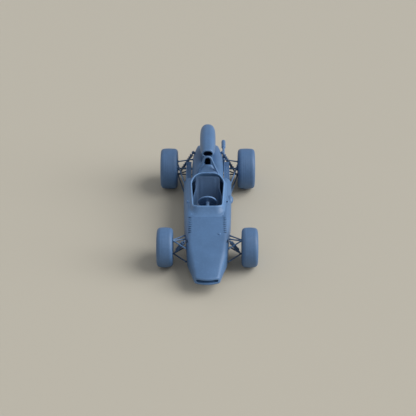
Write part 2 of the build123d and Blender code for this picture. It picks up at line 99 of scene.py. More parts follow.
# station, half width, bottom, top, top corner radius, crown of the top
BODY_SECTIONS = [
    (-19.2, 4.85, 4.60, 7.60, 1.25, 0.00),
    (-13.0, 6.20, 3.75, 9.12, 1.75, 0.06),
    (-7.0, 7.50, 3.02, 10.50, 2.20, 0.10),
    (4.8, 8.40, 3.00, 12.50, 2.10, 0.12),
    (16.8, 9.25, 3.00, 14.10, 2.60, 0.12),
    (29.0, 9.65, 3.00, 14.25, 3.10, 0.08),
    (38.5, 9.80, 3.00, 14.30, 3.40, 0.06),
]
NOSE = BODY_SECTIONS[0][0]
BODY_END = BODY_SECTIONS[-1][0]
SILL_R = 0.7
NOSE_BOW_R = 10.0
BOW_HALF_W = 8.0
BOW_LENGTH = 14.0
RING_PITCH = 1.1
NOSE_EDGE_R = 0.6
REAR_EDGE_R = 0.35
SLOT_HALF_W = 4.05
SLOT_Z = (5.55, 6.85)
SLOT_R = 0.55
SLOT_DEPTH = 5.0
LOUVRE_COUNT = 9
LOUVRE_STATIONS = (3.6, 11.6)
LOUVRE_X = 6.75
LOUVRE_W = 1.5
LOUVRE_RISE = 0.1
# behind the louvre's middle, height over the skin, share of the hood's rise: a slot that leans
# backwards as it goes in, and the low hood behind it
LOUVRE_SLOT = [(0.22, -0.45, 0), (0.68, -0.45, 0), (-0.17, 0.40, 0), (-0.63, 0.40, 0)]
LOUVRE_HOOD = [(0.26, -0.04, 0), (0.26, -0.01, 1), (0.35, 0.0, 1), (0.69, -0.02, 0),
               (0.69, -0.06, 0)]
POCKET_X = (6.9, 10.0)
POCKET_STATIONS = (-0.75, 1.15)
POCKET_Z = (8.8, 11.0)
FILLER_AT = (4.7, 2.6)
FILLER_R = 0.5
PEG_AT = (7.8, 21.4)
PEG_FOOT_R = 0.62
PEG_STEM_R = 0.34
PEG_HOLE_R = 0.42
PEG_HOLE_L = 2.0
BLISTER_AT = (8.95, 25.4, 12.3)
BLISTER_RADII = (1.35, 2.3, 1.5)
CORNER_STEPS = 7
FLAT_STEPS = 8

LEDGE_Z = 12.6
WELL_GROW = 0.25
WELL_Z = (8.5, 13.1)
WELL_TOP = 18.0
# half width, stations and height that the cockpit's walls lie within, which get painted shade
WALL_HALF_W = 7.9
WALL_STATIONS = (3.9, 37.7)
WALL_FOOT = 4.1
# x, stations, height, corner radius and its steps of the hollows below the well
COCKPIT_BOX = ((-6.9, 6.9), (4.0, 37.6), (4.2, WELL_Z[0] + 0.1), 0.5, 3)
FOOTWELL_BOX = ((-5.5, 5.5), (4.0, 16.0), (4.5, 11.0), 0.6, 3)
OPENING_STEPS = 8
COAMING_T = 0.38
COAMING_REAR = BODY_END - 0.3
COAMING_R = 3.0
COAMING_REAR_R = 5.0
COAMING_FLARE = 0.75
# height, front station, half width of the coaming's outer face
COAMING_LEVELS = [(LEDGE_Z, 12.0, 6.65), (17.3, 16.7, 5.7)]
# the coaming's upper edge: station, height
RIM_LINE = [(10.0, 16.3), (15.8, 16.3), (19.5, 15.5), (34.2, 15.3), (37.5, 17.0), (45.0, 17.0)]
# outwards from the wall, share of the way from the body's skin to the edge, height over that:
# up the outside, over the lip and down the inside
COAMING_PROFILE = [
    (0.82, 0, -0.20), (0.80, 0, 0.06), (0.74, 0, 0.13), (0.60, 0, 0.17), (0.32, 0, 0.26),
    (0.14, 0, 0.42), (0.04, 0, 0.66), (0.0, 0.55, 0), (0.0, 0.8, 0), (0.03, 1, -0.40),
    (0.09, 1, -0.28), (0.10, 1, -0.13), (0.04, 1, -0.02), (-0.07, 1, 0.05), (-0.21, 1, 0.06),
    (-0.34, 1, 0.02), (-0.43, 1, -0.10), (-0.43, 1, -0.26), (-COAMING_T, 1, -0.5),
    (-COAMING_T, 0.4, 0), (-COAMING_T, 0, -0.5), (0.0, 0, -0.5),
]
WHEEL_STATION = 23.2
WHEEL_Z = 12.8
WHEEL_R = 3.4
WHEEL_RIM_R = 0.36
WHEEL_TILT = 20.0
COLUMN_R = 0.75
COLUMN_L = 6.3
DASH_SIZE = (11.3, 2.9, 0.55)
# place along the dash, radius
GAUGES = [(-3.9, 0.6), (-2.2, 0.6), (1.4, 0.85), (3.4, 0.6), (-0.9, 0.45)]
SEAT_T = 0.45
SEAT_STEPS = 36
SEAT_SQUARE = 0.5
FLUTE_DEPTH = 0.06
# middle of the seat's shell (station, height), then its edge (x, station, height)
SEAT_LINE = [
    (19.5, 5.0, 5.2, 19.5, 9.6), (22.0, 4.9, 5.95, 21.5, 11.6),
    (25.0, 4.9, 6.1, 24.0, 12.3), (28.0, 5.0, 5.85, 27.0, 12.5),
    (30.2, 5.8, 5.5, 29.6, 12.5), (32.0, 8.2, 5.15, 31.8, 12.4),
    (33.6, 11.0, 4.95, 33.3, 12.5), (35.0, 13.6, 4.95, 34.7, 14.1),
    (35.8, 15.0, 4.95, 35.6, 15.1), (36.15, 15.65, 4.8, 36.05, 15.68),
    (36.35, 15.98, 4.45, 36.3, 15.98), (36.45, 16.12, 3.9, 36.42, 16.12),
]

DECK_Z = 14.2
HOOP_R = 0.44
HOOP_FOOT_X = 4.8
HOOP_FOOT = BODY_END + 0.8
HOOP_TOP_X = 1.0
HOOP_TOP = HOOP_FOOT + 0.7
HOOP_TOP_Z = 23.4
HOOP_ARCH = 0.45
# station, foot half width, top half width, top: the ends of the ribbed face, and the rest
HEADREST_FACE = [(38.55, 4.6, 4.0, 16.45), (41.1, 3.6, 2.0, 18.45)]
HEADREST_BACK = [
    (41.35, 3.5, 1.95, 18.5), (41.7, 3.4, 1.9, 18.42), (42.3, 3.2, 1.8, 17.9),
    (43.4, 2.9, 1.65, 17.1), (44.6, 2.6, 1.45, 16.3), (46.0, 2.3, 1.25, 15.3),
]
HEADREST_ROUND = 0.3
HEADREST_RIBS = 6
RIB_RISE = 0.045
INLET_HALF_W = 1.2
INLET = (BODY_END + 7.6, BODY_END + 17.5)
INLET_TOP = 17.2
BLOCK_HALF_W = 4.4
BLOCK_Z = (3.6, 11.6)
BLOCK_END = WHEELBASE - 1.8
WEB_COUNT = 7
WEB_PITCH = 1.8
GEARBOX_HALF_W = 3.0
GEARBOX_Z = (5.0, 11.0)
GEARBOX_END = WHEELBASE + 9.8
CASE_RIBS = 6
CASE_RIB_PITCH = 1.1
TAIL_R = 2.1
TAIL_STUDS_R = 1.75
POCKET_HALF_W = 4.7
POCKET_TOP = 11.8
POCKET_END = GEARBOX_END + 0.4
COVER_Z = 9.5
COVER_END = POCKET_END + 2.5
HUMP_STEPS = 14
HUMP_AT = 0.52
# station, half width, shoulder height, hump height, valley height
COVER_SECTIONS = [
    (BODY_END, 6.4, 13.2, 15.4, 14.7),
    (BODY_END + 9.5, 6.5, 12.9, 15.2, 14.5),
    (WHEELBASE + 4.2, 6.1, 12.3, 14.4, 13.7),
    (COVER_END, 4.6, 11.4, 12.7, 12.3),
]
# station, half width, bottom, top, corner radius
POD_SECTIONS = [
    (40.5, 2.45, 22.5, 26.3, 1.88),
    (47.0, 3.05, 19.8, 26.53, 2.4),
    (55.0, 3.2, 18.0, 26.48, 2.6),
    (62.0, 2.75, 18.6, 25.4, 2.4),
    (65.6, 1.4, 20.2, 23.2, 1.3),
]
MOUTH_W = 3.8
MOUTH_H = 2.5
MOUTH_Z = 24.4
# behind the pod's front, outwards from the mouth's edge, downwards
MOUTH_ROWS = [(0.0, 0.12, 0.0), (0.06, 0.03, 0.0), (0.25, -0.03, 0.0), (0.8, 0.0, 0.3),
              (2.6, 0.1, 1.1), (7.5, 0.3, 2.4)]
TRUNK = (48.5, 62.0)
TRUNK_HALF_W = 2.3
TRUNK_Z = (12.8, 20.0)
TRUNK_R = 1.7
TRUNK_INLET_Z = (11.0, 17.4)
COOLER_X = (6.85, 9.0)
COOLER_Z = (8.0, 12.6)
COOLER_END = WHEELBASE - 0.8
FIN_PITCH = 0.62
PIPE_R = 0.5
PIPE_Z = 6.6
PIPE_X = 5.9
RISER_X = 6.75
RISER_START = WHEELBASE + 2.8
RISER_END = WHEELBASE + 6.6
TAILPIPE_X = 6.75
TAILPIPE_Z = 11.7
TAIL_END = 70.8
SILENCER_L = 5.5
# along the silencer, radius: over its outside and into its end
SILENCER_PROFILE = [
    (0.0, 0.5), (0.05, 0.62), (0.25, 0.80), (0.55, 0.88), (SILENCER_L - 0.6, 0.88),
    (SILENCER_L - 0.2, 0.80), (SILENCER_L - 0.02, 0.66), (SILENCER_L, 0.52),
    (SILENCER_L - 0.1, 0.42), (SILENCER_L - 1.5, 0.40),
]
# lower and upper point of each damper on the left: x, station, height
DAMPERS = {
    "front": ((12.205, 0.2, 5.45), (8.86, 0.2, 10.4)),
    "rear": ((11.375, WHEELBASE + 1.75, 6.2), (6.2, WHEELBASE + 4.7, 13.6)),
}
LOWER_EYE_R = 0.42
UPPER_EYE_R = {"front": 0.42, "rear": 0.72}
COIL_R = 0.62
COIL_TURNS = 6
COIL_STEPS = 20
# turns that lay a bar across the car or along it, and the tilt of the print's layers
CROSSWISE = (0, math.radians(90), 0)
LENGTHWISE = (math.radians(90), 0, 0)
PRINT_TILT = (math.radians(28), 0, 0)

# outward curve of a surface, per millimetre, from which its edges get a pale painted highlight
HIGHLIGHT_FROM = 0.3
HIGHLIGHT_FULL = 1.8
# sizes of the resin's marks, and the heights between which its painted shade low down fades out
CLOUD_SIZE = 7.0
MOTTLE_SIZE = 0.9
SPECK_PITCH = 1.7
SPECK_PATCH = 4.0
GRAIN_SIZE = 0.16
LAYER_PITCH = 0.11
LOW_SHADE_Z = (5.0, 9.0)
LOW_SHADE_WAVER = 1.5
# how its tones differ from its own: times, plus
PALE = (1.22, 0.012)
DEEP = (0.86, 0.0)
# paler tone of pale specks, and of the painted highlight on sharp edges
WORN_AND_HIGHLIGHT = (1.55, 0.025)
# darker tone of the painted shade low down, under the car
LOW_SHADE = (0.3, 0.0)
# scale of a wave texture whose lines lie one unit apart
WAVE_UNIT = 0.314

CAMERA_TILT = 35.5
CAMERA_REACH = 438.5
CAMERA_X = 1.3
CAMERA_AIM = (0.14, 36.9)
CAMERA_LENS = 90.95
FLOOR_TONE = (0.475, 0.440, 0.365)
SKY_TONE = (0.93, 0.96, 1.0)
SKY_STRENGTH = 0.38
# name, place, spread in degrees, strength
LAMPS = [
    ("window", (0.72, 0.02, 0.66), 50, 2.55),
    ("side", (0.80, -0.10, 0.22), 30, 0.8),
    ("fill", (-0.40, -0.70, 0.80), 60, 0.15),
    ("rear", (-0.85, 0.45, 0.30), 60, 0.25),
]


def at(station):
    """Row coordinate of a station."""
    return FRONT_AXLE_Y + station


# ======== modelling helpers ========

def start(name):
    """A new piece, empty and in edit mode."""
    piece = bpy.data.objects.new(name, bpy.data.meshes.new(name))
    bpy.context.collection.objects.link(piece)
    only(piece)
    bpy.ops.object.mode_set(mode="EDIT")
    return piece


def done():
    bpy.ops.object.mode_set(mode="OBJECT")


def face_out():
    """Turns all faces outwards and leaves edit mode."""
    bpy.ops.mesh.select_all(action="SELECT")
    bpy.ops.mesh.normals_make_consistent(inside=False)
    done()


def edit(piece):
    """Back into edit mode on a piece, with nothing selected."""
    only(piece)
    bpy.ops.object.mode_set(mode="EDIT")
    bpy.ops.mesh.select_all(action="DESELECT")


def choose(kind, test):
    """Selects the faces that pass a test on their middle and normal, or the edges that pass one
    on their middle and direction."""
    bpy.ops.mesh.select_mode(type=kind)
    bpy.ops.mesh.select_all(action="DESELECT")
    mesh = bmesh.from_edit_mesh(bpy.context.edit_object.data)
    mesh.normal_update()
    if kind == "EDGE":
        for edge in mesh.edges:
            first, last = (vertex.co for vertex in edge.verts)
            edge.select_set(test((first + last) / 2, (last - first).normalized()))
    else:
        for face in mesh.faces:
            face.select_set(test(face.calc_center_median(), face.normal))
    mesh.select_flush_mode()
    bmesh.update_edit_mesh(bpy.context.edit_object.data)


def draw(points, closed=True):
    """Draws an outline point by point in an empty piece and leaves it selected."""
    points = [Vector(point) for point in points]
    bpy.ops.mesh.select_mode(type="VERT")
    bpy.ops.mesh.primitive_plane_add(size=0.5, location=points[0])
    bpy.ops.mesh.merge(type="CENTER")
    for here, there in zip(points, points[1:]):
        bpy.ops.mesh.extrude_region_move(TRANSFORM_OT_translate={"value": there - here})
    if closed:
        bpy.ops.mesh.select_all(action="DESELECT")
        drawn = list(bmesh.from_edit_mesh(bpy.context.edit_object.data).verts)
        drawn[0].select_set(True)
        drawn[-1].select_set(True)
        bmesh.update_edit_mesh(bpy.context.edit_object.data)
        bpy.ops.mesh.edge_face_add()
    bpy.ops.mesh.select_all(action="SELECT")
    bpy.ops.mesh.select_mode(type="EDGE")


def pull(old, new):
    """Extrudes the selected outline and pulls each of its points to its new place."""
    bpy.ops.mesh.extrude_edges_indiv()
    places = KDTree(len(old))
    for index, point in enumerate(old):
        places.insert(point, index)
    places.balance()
    mesh = bmesh.from_edit_mesh(bpy.context.edit_object.data)
    for vertex in mesh.verts:
        if vertex.select:
            vertex.co = new[places.find(vertex.co)[1]]
    bmesh.update_edit_mesh(bpy.context.edit_object.data)


def skin(name, rings, caps=True, closed=True):
    """A form drawn as its first section and pulled from section to section."""
    piece = start(name)
    draw(rings[0], closed)
    for old, new in zip(rings, rings[1:]):
        pull(old, new)
    if caps:
        bpy.ops.mesh.select_all(action="DESELECT")
        bpy.ops.mesh.select_non_manifold(extend=False, use_wire=False, use_boundary=True,
                                         use_multi_face=False, use_non_contiguous=False,
                                         use_verts=False)
        bpy.ops.mesh.fill_holes(sides=0)
    face_out()
    return piece


def modifier(piece, kind, **settings):
    """Adds a modifier and applies it."""
    only(piece)
    added = piece.modifiers.new(kind.lower(), kind)
    for name, value in settings.items():
        setattr(added, name, value)
    bpy.ops.object.modifier_apply(modifier=added.name)


def cut(piece, *cutters):
    for cutter in cutters:
        modifier(piece, "BOOLEAN", operation="DIFFERENCE", solver="MANIFOLD", object=cutter)
        bpy.data.objects.remove(cutter)
    return piece


def join(*pieces):
    bpy.ops.object.select_all(action="DESELECT")
    for piece in pieces:
        piece.select_set(True)
    bpy.context.view_layer.objects.active = pieces[0]
    bpy.ops.object.join()
    return pieces[0]


def mirrored(piece, name):
    """A copy of a left-side piece on the right side."""
    twin = piece.copy()
    twin.data = piece.data.copy()
    twin.name = name
    bpy.context.collection.objects.link(twin)
    edit(twin)
    bpy.ops.mesh.select_all(action="SELECT")
    bpy.ops.transform.mirror(orient_type="GLOBAL", constraint_axis=(True, False, False),
                             center_override=(0, 0, 0))
    face_out()
    return twin


def arc(centre, radius, first, last, steps):
    """Points of an arc in a flat outline, angles in degrees."""
    for step in range(steps + 1):
        angle = math.radians(first + (last - first) * step / steps)
        yield centre[0] + radius * math.cos(angle), centre[1] + radius * math.sin(angle)


def circle(count, radius, offset=0.0):
    """Points evenly round a circle, the first one at an offset given in spacings."""
    for number in range(count):
        angle = math.tau * (number + offset) / count
        yield radius * math.cos(angle), radius * math.sin(angle)


def both_sides(right):
    """Closes an outline that runs from its middle to its middle with its mirror image."""
    return right + [(-x, other) for x, other in reversed(right[1:-1])]


def rounded_box(half_width, low, high, upper_r, lower_r, crown):
    """Outline with round corners, from the middle of its top edge round the car's left."""
    w, u, l = half_width, upper_r, lower_r
    right = [((w - u) * n / FLAT_STEPS, high + crown * (1 - (n / FLAT_STEPS) ** 2))
             for n in range(FLAT_STEPS)]
    right += arc((w - u, high - u), u, 90, 0, CORNER_STEPS)
    right += [(w, high - u + (low + l - high + u) * n / 4) for n in range(1, 4)]
    right += arc((w - l, low + l), l, 0, -90, CORNER_STEPS)
    right += [((w - l) * n / FLAT_STEPS, low) for n in range(FLAT_STEPS - 1, 0, -1)]
    return both_sides(right + [(0.0, low)])


def across(outline, station):
    """A flat outline set across the car at a station."""
    return [(x, at(station), z) for x, z in outline]


def flow(table, station):
    """A row of a table of sections at any station, by a smooth curve through its rows."""
    index = 0
    while index < len(table) - 2 and station > table[index + 1][0]:
        index += 1
    before, low = table[max(index - 1, 0)], table[index]
    high, after = table[index + 1], table[min(index + 2, len(table) - 1)]
    gap = high[0] - low[0]
    t = (station - low[0]) / gap
    row = []
    for a, b, c, d in zip(before[1:], low[1:], high[1:], after[1:]):
        rise_low = (c - a) / (high[0] - before[0]) * gap
        rise_high = (d - b) / (after[0] - low[0]) * gap
        row.append(b * (2 * t ** 3 - 3 * t ** 2 + 1) + rise_low * (t ** 3 - 2 * t ** 2 + t)
                   + c * (3 * t ** 2 - 2 * t ** 3) + rise_high * (t ** 3 - t ** 2))
    return row


def steps_between(first, last, pitch):
    """Stations from first to last, about a pitch apart."""
    count = max(1, round(abs(last - first) / pitch))
    return [first + (last - first) * number / count for number in range(count + 1)]


def tube(name, path, radius, sides=16):
    """A round bar along a path, with its ends closed."""
    path = [Vector(point) for point in path]
    rings = []
    side = None
    for index, point in enumerate(path):
        back = point - path[index - 1] if index else path[1] - point
        ahead = path[index + 1] - point if index < len(path) - 1 else back
        along = (back.normalized() + ahead.normalized()).normalized()
        side = along.orthogonal() if side is None else side - along * side.dot(along)
        side.normalize()
        other = along.cross(side)
        rings.append([point + side * x + other * y for x, y in circle(sides, radius)])
    return skin(name, rings)


def slab(name, x, stations, z, corner=0.0, segments=2):
    """A block given by its limits, with its edges rounded."""
    piece = start(name)
    middle = ((x[0] + x[1]) / 2, at((stations[0] + stations[1]) / 2), (z[0] + z[1]) / 2)
    size = (abs(x[1] - x[0]), abs(stations[1] - stations[0]), abs(z[1] - z[0]))
    bpy.ops.mesh.primitive_cube_add(size=1, location=middle, scale=size)
    if corner:
        bpy.ops.mesh.select_all(action="SELECT")
        bpy.ops.mesh.bevel(offset=corner, segments=segments, affect="EDGES")
    done()
    return piece


def cylinder(name, middle, radius, depth, sides, turn=(0, 0, 0)):
    """A round or flat-sided bar given by its middle."""
    piece = start(name)
    bpy.ops.mesh.primitive_cylinder_add(vertices=sides, radius=radius, depth=depth,
                                        location=middle, rotation=turn)
    done()
    return piece


def ball(name, middle, radii, segments, rows):
    """A ball, or an oval one where its three radii differ."""
    piece = start(name)
    bpy.ops.mesh.primitive_uv_sphere_add(segments=segments, ring_count=rows, radius=1,
                                         location=middle, scale=radii)
    done()
    return piece


def spun(name, outline, origin, steps):
    """A closed outline of (distance along the axle, radius) points, spun about the axle."""
    piece = start(name)
    draw([(origin[0] + x, origin[1], origin[2] + r) for x, r in outline])
    bpy.ops.mesh.select_all(action="SELECT")
    bpy.ops.mesh.spin(steps=steps, angle=math.tau, center=origin, axis=(1, 0, 0))
    done()
    return merge(piece, 0.001)


def merge(piece, reach=0.002):
    """Merges points that lie together."""
    edit(piece)
    bpy.ops.mesh.select_all(action="SELECT")
    bpy.ops.mesh.remove_doubles(threshold=reach)
    face_out()
    return piece


def mark_edge_highlight(piece):
    """Marks in a point attribute how sharply the surface curves outwards, 0 to 1, as the share of
    pale painted highlight on its edges.
    """
    if "edge_highlight" in piece.data.attributes:
        return
    mesh = bmesh.new()
    mesh.from_mesh(piece.data)
    marks = []
    for vertex in mesh.verts:
        area = sum(face.calc_area() / len(face.verts) for face in vertex.link_faces)
        bend = sum(edge.calc_face_angle_signed(0.0) * edge.calc_length()
                   for edge in vertex.link_edges if edge.is_manifold)
        curve = bend / (4 * area) if area > 1e-6 else 0.0
        marks.append(min(max((curve - HIGHLIGHT_FROM) / (HIGHLIGHT_FULL - HIGHLIGHT_FROM), 0.0), 1.0))
    mesh.free()
    edge_highlight = piece.data.attributes.new("edge_highlight", "FLOAT", "POINT")
    edge_highlight.data.foreach_set("value", marks)


def finish(piece, body, nodes, finish_material, angle=40):
    """Brings a piece to metres and hangs it on its body."""
    only(piece)
    mark_edge_highlight(piece)
    piece.scale = (MM, MM, MM)
    bpy.ops.object.transform_apply(location=True, rotation=True, scale=True)
    bpy.ops.object.shade_smooth_by_angle(angle=math.radians(angle))
    piece.data.materials.clear()
    piece.data.materials.append(finish_material)
    for face in piece.data.polygons:
        face.material_index = 0
    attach(piece, body)
    if nodes:
        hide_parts(*nodes)


def finish_pair(left, name, body, finish_material):
    """Mirrors a left piece and finishes both; {} in the names stands for the side."""
    right = mirrored(left, name.format("right"))
    left.name = name.format("left")
    for piece, side in ((left, "left"), (right, "right")):
        finish(piece, body.format(side), (name.format(side),), finish_material)


def straight(table, station):
    """Second column of a table, read straight between its rows."""
    for low, high in zip(table, table[1:]):
        if station <= high[0]:
            break
    return low[1] + (high[1] - low[1]) * (station - low[0]) / (high[0] - low[0])


def opening(height, grow):
    """Plan of the cockpit opening at a height, from the middle of its front."""
    low, high = COAMING_LEVELS
    share = (height - low[0]) / (high[0] - low[0])
    front = low[1] + (high[1] - low[1]) * share - grow
    width = low[2] + (high[2] - low[2]) * share + grow
    rear = COAMING_REAR + grow
    r1, r2 = COAMING_R + grow, COAMING_REAR_R + grow
    right = [(0.0, front), ((width - r1) / 2, front)]
    right += arc((width - r1, front + r1), r1, -90, 0, OPENING_STEPS)
    right += [(width + COAMING_FLARE * n / 10, front + r1 + (rear - r2 - front - r1) * n / 10)
              for n in range(1, 10)]
    width += COAMING_FLARE
    right += arc((width - r2, rear - r2), r2, 0, 90, OPENING_STEPS)
    right += [((width - r2) / 2, rear), (0.0, rear)]
    return both_sides(right)


# ======== materials ========

class Wave:
    """The output of a node, which varies over a surface. Python's operators add Math nodes."""

    def __init__(self, shader, socket):
        self.shader = shader
        self.socket = socket

    def math(self, operation, other):
        return self.shader.node("ShaderNodeMath", 0, {0: self, 1: other}, operation=operation)

    def __add__(self, other):
        return self.math("ADD", other)

    def __sub__(self, other):
        return self.math("SUBTRACT", other)

    def __mul__(self, other):
        return self.math("MULTIPLY", other)


class Finish:
    """A material and the few calls that build its nodes."""

    def __init__(self, name):
        self.material = bpy.data.materials.new(name)
        self.material.use_nodes = True
        self.tree = self.material.node_tree
        self.shader = self.tree.nodes["Principled BSDF"]
        self.place = self.node("ShaderNodeTexCoord", "Object", {})

    def node(self, kind, output, inputs, **settings):
        """A new node's output. Its settings are set before its sockets' values and links."""
        added = self.tree.nodes.new(kind)
        for name, value in settings.items():
            setattr(added, name, value)
        for name, value in inputs.items():
            self.feed(added.inputs[name], value)
        return Wave(self, added.outputs[output])

    def feed(self, socket, value):
        if isinstance(value, Wave):
            self.tree.links.new(value.socket, socket)
        else:
            socket.default_value = value

    def pattern(self, kind, output, size, **inputs):
        """A texture whose lumps or spacings are about size millimetres across."""
        return self.node(kind, output, {"Vector": self.place, "Scale": 1 / (size * MM), **inputs})

    def noise(self, size, detail):
        return self.pattern("ShaderNodeTexNoise", "Fac", size, Detail=detail, Roughness=0.55)

    def layers(self, pitch, turn):
        """Fine parallel lines, one each pitch millimetres along a turned axis."""
        turned = self.node("ShaderNodeMapping", "Vector", {"Vector": self.place,
                                                           "Rotation": turn})
        return self.node("ShaderNodeTexWave", "Fac",
                         {"Vector": turned, "Scale": WAVE_UNIT / (pitch * MM),
                          "Distortion": 0.6, "Detail": 1.0, "Detail Scale": 0.6},
                         wave_type="BANDS", bands_direction="Z", wave_profile="SIN")

    def ramp(self, value, low, high):
        """0 at low, 1 at high, straight between, and level beyond them."""
        return self.node("ShaderNodeMapRange", "Result",
                         {"Value": value, "From Min": low, "From Max": high,
                          "To Min": 0.0, "To Max": 1.0})

    def mix(self, share, first, second):
        """Mixes two colours, each a tone or an output."""
        first, second = ((*tone, 1.0) if isinstance(tone, tuple) else tone
                         for tone in (first, second))
        return self.node("ShaderNodeMix", 2, {0: share, 6: first, 7: second}, data_type="RGBA")

    def bump(self, height, strength, distance, **under):
        return self.node("ShaderNodeBump", "Normal", {"Height": height, "Strength": strength,
                                                      "Distance": distance * MM, **under})


def resin(name, tone, turn=PRINT_TILT, grain=1.0, rough=0.46, low_shade_share=0.0):
    """Cured printing resin: satin, faintly layered, softly mottled, with a pale painted highlight
    on sharp outward edges and, where asked for, painted shade that darkens it low down."""
    made = Finish(name)
    cloud = made.noise(CLOUD_SIZE, 3.0)
    mottle = made.noise(MOTTLE_SIZE, 4.0)
    speck = made.ramp(made.pattern("ShaderNodeTexVoronoi", "Distance", SPECK_PITCH), 0.10, 0.04)
    speck = speck * made.ramp(made.noise(SPECK_PATCH, 2.0), 0.55, 0.68)
    lines = made.layers(LAYER_PITCH, turn)
    edge_highlight = made.node("ShaderNodeAttribute", "Fac", {}, attribute_name="edge_highlight")
    pale, deep, worn_and_highlight, low_shade_tone = (tuple(channel * factor + lift for channel in tone)
                               for factor, lift in (PALE, DEEP, WORN_AND_HIGHLIGHT, LOW_SHADE))
    base = made.mix(made.ramp(cloud * 0.7 + mottle * 0.3, 0.36, 0.64), deep, tone)
    base = made.mix(made.ramp(mottle, 0.54, 0.86) * 0.32, base, pale)
    base = made.mix(speck * 0.35, base, worn_and_highlight)
    # painted highlight: paler where the surface curves sharply outwards
    base = made.mix(edge_highlight * (mottle * 0.6 + 0.35), base, worn_and_highlight)
    # painted shade: the resin darkens low down, where the car's own shadow falls
    if low_shade_share:
        height = made.node("ShaderNodeSeparateXYZ", "Z", {"Vector": made.place})
        low = made.ramp(height + mottle * (LOW_SHADE_WAVER * MM), LOW_SHADE_Z[1] * MM, LOW_SHADE_Z[0] * MM)
        base = made.mix(low * low_shade_share, base, low_shade_tone)
    made.feed(made.shader.inputs["Base Color"], base)
    made.feed(made.shader.inputs["Roughness"], (mottle - 0.5) * 0.22 + rough
              + (lines - 0.5) * 0.03 + (cloud - 0.5) * 0.12)
    made.shader.inputs["IOR"].default_value = 1.49
    fine = made.bump(made.noise(GRAIN_SIZE, 3.0), 0.16 * grain, 0.03)
    ridged = made.bump(lines, 0.10 * grain, 0.03, Normal=fine)
    made.feed(made.shader.inputs["Normal"], made.bump(mottle, 0.12 * grain, 0.10, Normal=ridged))
    return made.material


body_resin = resin("body_resin", (0.080, 0.170, 0.330))
fine_resin = resin("fine_resin", (0.074, 0.157, 0.305), rough=0.50)
# the rods and the other CAD parts take painted shade low down
rod_resin = resin("rod_resin", (0.088, 0.180, 0.340), rough=0.50, low_shade_share=0.85)
# a paler copy of the resin: painted light on the coaming, which faces the lamps
lit_coaming_resin = resin("lit_coaming_resin", (0.096, 0.200, 0.380))
# a darker copy of the resin, as painted shade: for the seat, the cockpit's walls, the pockets by
# the front dampers and the dampers
shade_resin = resin("shade_resin", (0.052, 0.110, 0.215), rough=0.55)
tyre_resin = resin("tyre_resin", (0.070, 0.148, 0.290), CROSSWISE, grain=1.3, rough=0.52)


# ======== body shell ========

def bow(x, lead):
    """How far a point stands back because the nose is bowed in plan."""
    depth = NOSE_BOW_R - math.sqrt(NOSE_BOW_R ** 2 - min(abs(x), BOW_HALF_W) ** 2)
    return depth * max(0.0, 1 - lead / BOW_LENGTH)


def body_ring(station, inset=0.0):
    """Section of the body at a station, drawn in all round by an inset."""
    half_width, low, high, radius, crown = flow(BODY_SECTIONS, station)
    outline = rounded_box(half_width - inset, low + inset, high - inset,
                          max(radius - inset, 0.3), max(SILL_R - inset, 0.2), crown)
    return [(x, at(station) + bow(x, station - NOSE), z) for x, z in outline]


def body_surface(x, station):
    """Height of the body's upper surface."""
    half_width, low, high, radius, crown = flow(BODY_SECTIONS, min(station, BODY_END))
    past = abs(x) - (half_width - radius)
    if past <= 0:
        return high + crown * (1 - (x / (half_width - radius)) ** 2)
    return high - radius + math.sqrt(max(radius ** 2 - past ** 2, 0.0))


def slot_ring(lead, grow=0.0):
    """Outline of the slot in the nose, some way in from its front face."""
    outline = rounded_box(SLOT_HALF_W + grow, SLOT_Z[0] - grow, SLOT_Z[1] + grow,
                          SLOT_R + grow, SLOT_R + grow, 0.0)
    return [(x, at(NOSE + lead) + bow(x, 0.0), z) for x, z in outline]


def quarter(radius, count):
    """(inset, setback) pairs that round an edge."""
    for number in range(count + 1):
        angle = math.radians(90 * number / count)
        yield radius * (1 - math.cos(angle)), radius * (1 - math.sin(angle))


def rounded_run(ring, first, last, first_edge, last_edge, pitch=RING_PITCH):
    """Sections from one station to another that round in at both ends. An edge is its radius,
    its steps, and how far from the end the first whole section stands."""
    way = math.copysign(1, last - first)
    radius, steps, gap = first_edge
    rings = [ring(first + way * back, inset)
             for inset, back in reversed(list(quarter(radius, steps)))]
    rings += [ring(station) for station in
              steps_between(first + way * gap, last - way * last_edge[2], pitch)]
    return rings + [ring(last - way * back, inset) for inset, back in quarter(*last_edge[:2])]


def louvre(name, side, number, steps, section):
    """A bar across the shoulder at one place of a row of louvres, which follows the skin."""
    first, last = LOUVRE_STATIONS
    middle = first + number * (last - first) / (LOUVRE_COUNT - 1)
    rings = []
    for step in range(steps + 1):
        share = 2 * step / steps - 1
        x = side * (LOUVRE_X + share * LOUVRE_W / 2)
        foot = body_surface(x, middle)
        top = LOUVRE_RISE * (1 - share ** 2)
        rings.append([(x, at(middle + back), foot + rise + top * crowned)
                      for back, rise, crowned in section])
    return skin(name, rings)


def in_cockpit(middle):
    """Whether a face of the finished body shell is a wall of the cockpit, by its place: these
    walls get painted shade.
    """
    x, station, height = middle.x / MM, middle.y / MM - at(0.0), middle.z / MM
    return (abs(x) < WALL_HALF_W and WALL_STATIONS[0] < station < WALL_STATIONS[1]
            and WALL_FOOT < height < min(WELL_Z[1] + 0.05, body_surface(x, station) - 0.25))


def in_pocket(middle, normal):
    """Whether a face lies in one of the pockets over the front dampers' upper ends, which get
    painted shade.
    """
    station = middle.y / MM - at(0.0)
    return (POCKET_STATIONS[0] < station < POCKET_STATIONS[1] and abs(normal.x) < 0.9
            and abs(middle.x) / MM > POCKET_X[0] and POCKET_Z[0] < middle.z / MM < POCKET_Z[1])


